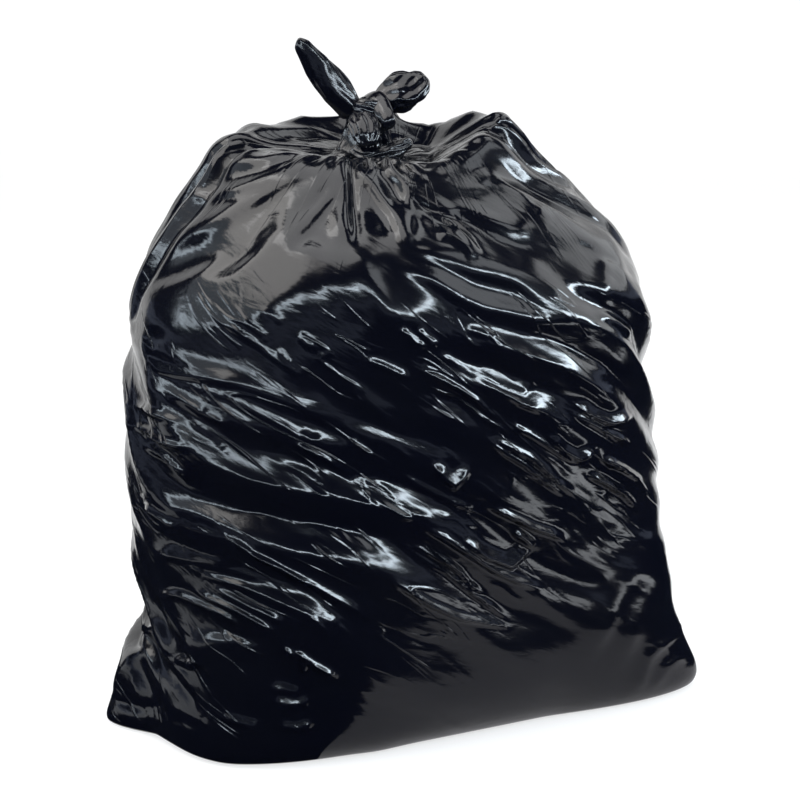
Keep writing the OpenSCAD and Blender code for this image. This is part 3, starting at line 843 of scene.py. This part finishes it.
def film_creases(nodes, links, vector):
    """Thin winding lines: 1 on a line, 0 beside it."""
    noise = nodes.new("ShaderNodeTexNoise")
    noise.inputs["Scale"].default_value = 1.0
    noise.inputs["Detail"].default_value = 2.0
    noise.inputs["Distortion"].default_value = 0.5
    links.new(vector, noise.inputs["Vector"])
    level = film_math(nodes, links, "SUBTRACT", noise.outputs["Fac"], 0.5)
    near = film_math(nodes, links, "ABSOLUTE", level)
    line = nodes.new("ShaderNodeMapRange")
    line.interpolation_type = "SMOOTHSTEP"
    line.inputs["From Max"].default_value = 0.028
    line.inputs["To Min"].default_value = 1.0
    line.inputs["To Max"].default_value = 0.0
    links.new(near, line.inputs["Value"])
    return line.outputs["Result"]


def film_material():
    """Glossy black polythene: nearly black with a trace of blue, with fine wrinkles and uneven gloss."""
    material = bpy.data.materials.new("black_film")
    material.use_nodes = True
    nodes, links = material.node_tree.nodes, material.node_tree.links
    film = nodes["Principled BSDF"]
    film.inputs["IOR"].default_value = 1.5
    place = nodes.new("ShaderNodeTexCoord")
    slanted = nodes.new("ShaderNodeMapping")
    slanted.vector_type = "TEXTURE"
    slanted.inputs["Rotation"].default_value = (0, math.radians(28), 0)
    slanted.inputs["Scale"].default_value = (5.5, 1.7, 1.0)
    links.new(place.outputs["Object"], slanted.inputs["Vector"])
    wrinkles = nodes.new("ShaderNodeTexNoise")
    wrinkles.inputs["Scale"].default_value = 90.0
    wrinkles.inputs["Detail"].default_value = 5.0
    wrinkles.inputs["Distortion"].default_value = 0.6
    links.new(slanted.outputs["Vector"], wrinkles.inputs["Vector"])
    bump_node = nodes.new("ShaderNodeBump")
    bump_node.inputs["Strength"].default_value = 0.2
    bump_node.inputs["Distance"].default_value = 0.0025
    links.new(wrinkles.outputs["Fac"], bump_node.inputs["Height"])
    split = nodes.new("ShaderNodeSeparateXYZ")
    links.new(place.outputs["Object"], split.inputs["Vector"])
    crease_place = nodes.new("ShaderNodeMapping")
    crease_place.vector_type = "TEXTURE"
    crease_place.inputs["Rotation"].default_value = (0, math.radians(29), 0)
    crease_place.inputs["Scale"].default_value = (0.22, 0.15, 0.032)
    to_front = film_math(nodes, links, "MULTIPLY", split.outputs["Y"], -1.0)
    round_sack = film_math(nodes, links, "ARCTAN2", split.outputs["X"], to_front)
    wrap_place = nodes.new("ShaderNodeCombineXYZ")
    links.new(film_math(nodes, links, "MULTIPLY", round_sack, 0.27), wrap_place.inputs["X"])
    links.new(split.outputs["Z"], wrap_place.inputs["Z"])
    links.new(wrap_place.outputs["Vector"], crease_place.inputs["Vector"])
    round_knot = film_math(nodes, links, "ARCTAN2", split.outputs["Y"], split.outputs["X"])
    ray_place = nodes.new("ShaderNodeCombineXYZ")
    links.new(film_math(nodes, links, "MULTIPLY", round_knot, 7.0), ray_place.inputs["X"])
    links.new(film_math(nodes, links, "MULTIPLY", split.outputs["Z"], 5.0), ray_place.inputs["Y"])
    over_belly = film_range(nodes, links, split.outputs["Z"], 0.46, 0.40)
    round_top = film_range(nodes, links, split.outputs["Z"], 0.44, 0.62)
    off_knot = film_range(nodes, links, split.outputs["Z"], 0.585, 0.565)
    above_panel = film_math(nodes, links, "MULTIPLY", split.outputs["X"], -0.45)
    above_panel = film_math(nodes, links, "ADD", above_panel, split.outputs["Z"])
    off_panel = film_range(nodes, links, above_panel, 0.065, 0.105)
    belly_creases = film_creases(nodes, links, crease_place.outputs[0])
    belly_creases = film_math(nodes, links, "MULTIPLY", belly_creases, over_belly)
    top_creases = film_creases(nodes, links, ray_place.outputs[0])
    top_creases = film_math(nodes, links, "MULTIPLY", top_creases, round_top)
    top_creases = film_math(nodes, links, "MULTIPLY", top_creases, 0.4)
    all_creases = film_math(nodes, links, "ADD", belly_creases, top_creases)
    here_and_there = nodes.new("ShaderNodeTexNoise")
    here_and_there.inputs["Scale"].default_value = 16.0
    links.new(place.outputs["Object"], here_and_there.inputs["Vector"])
    patchy = film_range(nodes, links, here_and_there.outputs["Fac"], 0.42, 0.62)
    off_both = film_math(nodes, links, "MULTIPLY", off_panel, off_knot)
    patchy = film_math(nodes, links, "MULTIPLY", patchy, off_both)
    crease_bump = nodes.new("ShaderNodeBump")
    crease_bump.inputs["Strength"].default_value = 0.65
    crease_bump.inputs["Distance"].default_value = 0.0012
    links.new(film_math(nodes, links, "MULTIPLY", all_creases, patchy), crease_bump.inputs["Height"])
    links.new(bump_node.outputs["Normal"], crease_bump.inputs["Normal"])
    links.new(crease_bump.outputs["Normal"], film.inputs["Normal"])
    haze = nodes.new("ShaderNodeTexNoise")
    haze.inputs["Scale"].default_value = 9.0
    haze.inputs["Detail"].default_value = 4.0
    links.new(place.outputs["Object"], haze.inputs["Vector"])
    gloss = nodes.new("ShaderNodeMapRange")
    gloss.inputs["To Min"].default_value = 0.08
    gloss.inputs["To Max"].default_value = 0.20
    links.new(haze.outputs["Fac"], gloss.inputs["Value"])
    links.new(gloss.outputs["Result"], film.inputs["Roughness"])
    tint = nodes.new("ShaderNodeMix")
    tint.data_type = "RGBA"
    tint.inputs["A"].default_value = (0.0006, 0.0008, 0.0025, 1)
    tint.inputs["B"].default_value = (0.0015, 0.0018, 0.0035, 1)
    links.new(haze.outputs["Fac"], tint.inputs["Factor"])
    links.new(tint.outputs["Result"], film.inputs["Base Color"])
    return material


black_film = film_material()
sack = tube_mesh("sack_film", film_points())
sack.data.materials.append(black_film)
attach(sack, "root")
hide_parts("sack")

# Knot: the neck of the sack tied once over itself, all of it bunched film. Three bands go round it, a flat
# strap crosses it on the right, crumpled film bulges out under it, and two strands cross the neck below.
knot_w, knot_h, wrap_t = 44, 56, 18
knot_middle = np.array([-neck_x + 2, -neck_y - 4, neck_z + knot_h / 2], float)


def seen_at(px, py, y):
    """The point in mm that shows at a pixel of the view and lies y mm behind the middle of the sack."""
    ray = view_ahead + np.array([(px - view_middle) / view_scale, 0, 0])
    ray = ray + (view_middle - py) / view_scale * view_up
    return view_eye + ray * ((y - view_eye[1]) / ray[1])


def smooth_line(points, count):
    """Evenly spaced points on a smooth curve through the given ones."""
    p = np.array(points, float)
    i = np.linspace(0, len(p) - 1, 400)
    k = np.minimum(i.astype(int), len(p) - 2)
    f = (i - k)[:, None]
    p0, p1, p2, p3 = p[np.maximum(k - 1, 0)], p[k], p[k + 1], p[np.minimum(k + 2, len(p) - 1)]
    line = p1 + f / 2 * (p2 - p0 + f * (2 * p0 - 5 * p1 + 4 * p2 - p3 + f * (3 * (p1 - p2) + p3 - p0)))
    run = np.r_[0, np.cumsum(np.linalg.norm(np.diff(line, axis=0), axis=1))]
    even = np.linspace(0, run[-1], count)
    return np.stack([np.interp(even, run, line[:, a]) for a in range(3)], -1)


def bunch(name, line, wide, thick, side, folds, depth, facet, facet_size, seed):
    """Bunched film along a line: a closed tube of the given half widths, pleated lengthwise and crumpled."""
    rings, columns = 90, 120
    path = smooth_line(line, rings)
    along = unit(np.gradient(path, axis=0))
    f = np.linspace(0, 1, rings)
    side = np.array(side, float)
    sides = np.stack([np.interp(f, np.linspace(0, 1, len(side)), side[:, a]) for a in range(3)], -1)
    sides = unit(sides - (sides * along).sum(-1, keepdims=True) * along)
    fronts = np.cross(along, sides)
    w = np.interp(f, np.linspace(0, 1, len(wide)), wide)[:, None]
    t = np.interp(f, np.linspace(0, 1, len(thick)), thick)[:, None]
    a = np.linspace(0, 2 * np.pi, columns, endpoint=False)[None, :]
    g = f[:, None]
    wave = 0.6 * ridge(folds * a / 2 / np.pi + 0.25 * np.sin(5 * g + seed))
    wave = wave + 0.4 * ridge((folds * 2 + 1) * a / 2 / np.pi + 0.4 * np.sin(7 * g + 2 * seed))
    r = 1 + depth * wave
    cap = np.sqrt(np.clip(np.minimum(g, 1 - g) * 14, 0.02, 1))
    points = path[:, None] + (w * cap * r * np.cos(a))[..., None] * sides[:, None]
    points = points + (t * cap * r * np.sin(a))[..., None] * fronts[:, None]
    points = points + (facet * crumple(points, facet_size, seed) * cap)[..., None] * film_normals(points)
    points = crease_film(points, film_normals(points), 0.5, 3)
    piece = tube_mesh(name, points)
    piece.data.materials.append(black_film)
    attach(piece, "root")
    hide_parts("sack")


def wrap_line(lift, lean, start, sweep, climb):
    """Middle line of a band that goes round the knot and dives into it, its way up and its swelling."""
    t = np.linspace(0, 1, 15)
    swell = sin_deg(180 * between(0.05, 0.95, t)) ** 0.5
    lean = np.radians(lean)
    across, up = np.array([np.cos(lean), 0, np.sin(lean)]), np.array([-np.sin(lean), 0, np.cos(lean)])
    p = np.radians(start + sweep * t)[:, None]
    out = across * np.cos(p) + np.array([0, 1, 0]) * np.sin(p)
    line = knot_middle + [0, 0, lift] + out * ((knot_w / 2 - wrap_t * 0.6) * (0.6 + 0.4 * swell))[:, None]
    return line + up * (climb * t)[:, None], up, swell


for number, (lift, lean, start, sweep, w, climb) in enumerate([
    (knot_h * 0.3, -24, 160, 260, knot_h * 0.5, -4),
    (-knot_h * 0.02, 16, 140, 300, knot_h * 0.5, 4),
    (-knot_h * 0.42, -8, 175, 210, knot_h * 0.42, 2),
]):
    line, up, swell = wrap_line(lift, lean, start, sweep, climb)
    bunch(
        f"knot_band_{number + 1}", line, wide=w / 2 * swell, thick=wrap_t / 2 * swell, side=[-up, -up],
        folds=5, depth=0.16, facet=0.8, facet_size=9, seed=number + 2,
    )

bunch(
    "knot_middle", [knot_middle - [0, 0, 30], knot_middle, knot_middle + [0, 0, 26]],
    wide=[18, 19, 19, 16], thick=[17, 18, 18, 14], side=[(1, 0, 0), (1, 0, 0)],
    folds=8, depth=0.14, facet=0.8, facet_size=9, seed=11,
)
bunch(
    "knot_strap",
    [seen_at(368, 98, 10), seen_at(373, 97, -10), seen_at(381, 107, -27), seen_at(388, 121, -40),
        seen_at(390, 129, -36)],
    wide=[7, 10, 10, 9, 6], thick=[4, 4, 4, 4, 3], side=[(1, 0, 0.5), (1, 0, 0.5)],
    folds=2, depth=0.10, facet=0.2, facet_size=14, seed=5,
)
bunch(
    "knot_bulge",
    [seen_at(366, 112, -18), seen_at(364, 120, -32), seen_at(366, 134, -46), seen_at(369, 147, -52)],
    wide=[9, 14, 15, 13, 7], thick=[5, 7, 7, 6, 3], side=[(1, 0, 0), (1, 0, 0)],
    folds=6, depth=0.15, facet=0.6, facet_size=14, seed=8,
)
bunch(
    "knot_strand_1",
    [seen_at(352, 146, -28), seen_at(366, 158, -38), seen_at(390, 153, -36), seen_at(412, 141, -22)],
    wide=[6, 9, 9, 8, 5], thick=[6, 8, 8, 7, 5], side=[(0, 0, 1), (0, 0, 1)],
    folds=5, depth=0.18, facet=0.7, facet_size=10, seed=21,
)
bunch(
    "knot_strand_2",
    [seen_at(350, 152, -26), seen_at(364, 166, -36), seen_at(384, 166, -36), seen_at(404, 152, -24)],
    wide=[5, 8, 8, 7, 4], thick=[5, 7, 7, 6, 4], side=[(0, 0, 1), (0, 0, 1)],
    folds=5, depth=0.18, facet=0.7, facet_size=10, seed=27,
)

# Left tail: one corner of the sack's mouth, a flat black tongue of film. It is folded lengthwise, stands up
# from the knot and leans to the left.
bunch(
    "left_tail",
    [seen_at(357, 116, -12), seen_at(347, 103, -14), seen_at(331, 83, -12), seen_at(316, 64, -10),
        seen_at(304, 48, -9), seen_at(299, 38, -8)],
    wide=[11, 13, 15, 14.5, 13, 9, 6.5], thick=[9, 6, 5, 4.5, 4, 3, 2], side=[(1, 0, 0.7), (1, 0, 0.7)],
    folds=3, depth=0.14, facet=0.3, facet_size=20, seed=31,
)

# Right tail: the other corner of the mouth, a short crumpled lobe of film. It comes out of the top of the
# knot and leans to the right.
bunch(
    "right_tail",
    [seen_at(374, 110, -12), seen_at(386, 102, -12), seen_at(402, 91, -12), seen_at(417, 85, -11),
        seen_at(429, 80, -10)],
    wide=[9, 12, 17, 20, 20, 16, 9], thick=[7, 8, 9, 9, 8, 7, 4], side=[(0.7, -0.6, -1), (0.3, -0.7, -1)],
    folds=4, depth=0.16, facet=1.2, facet_size=15, seed=44,
)
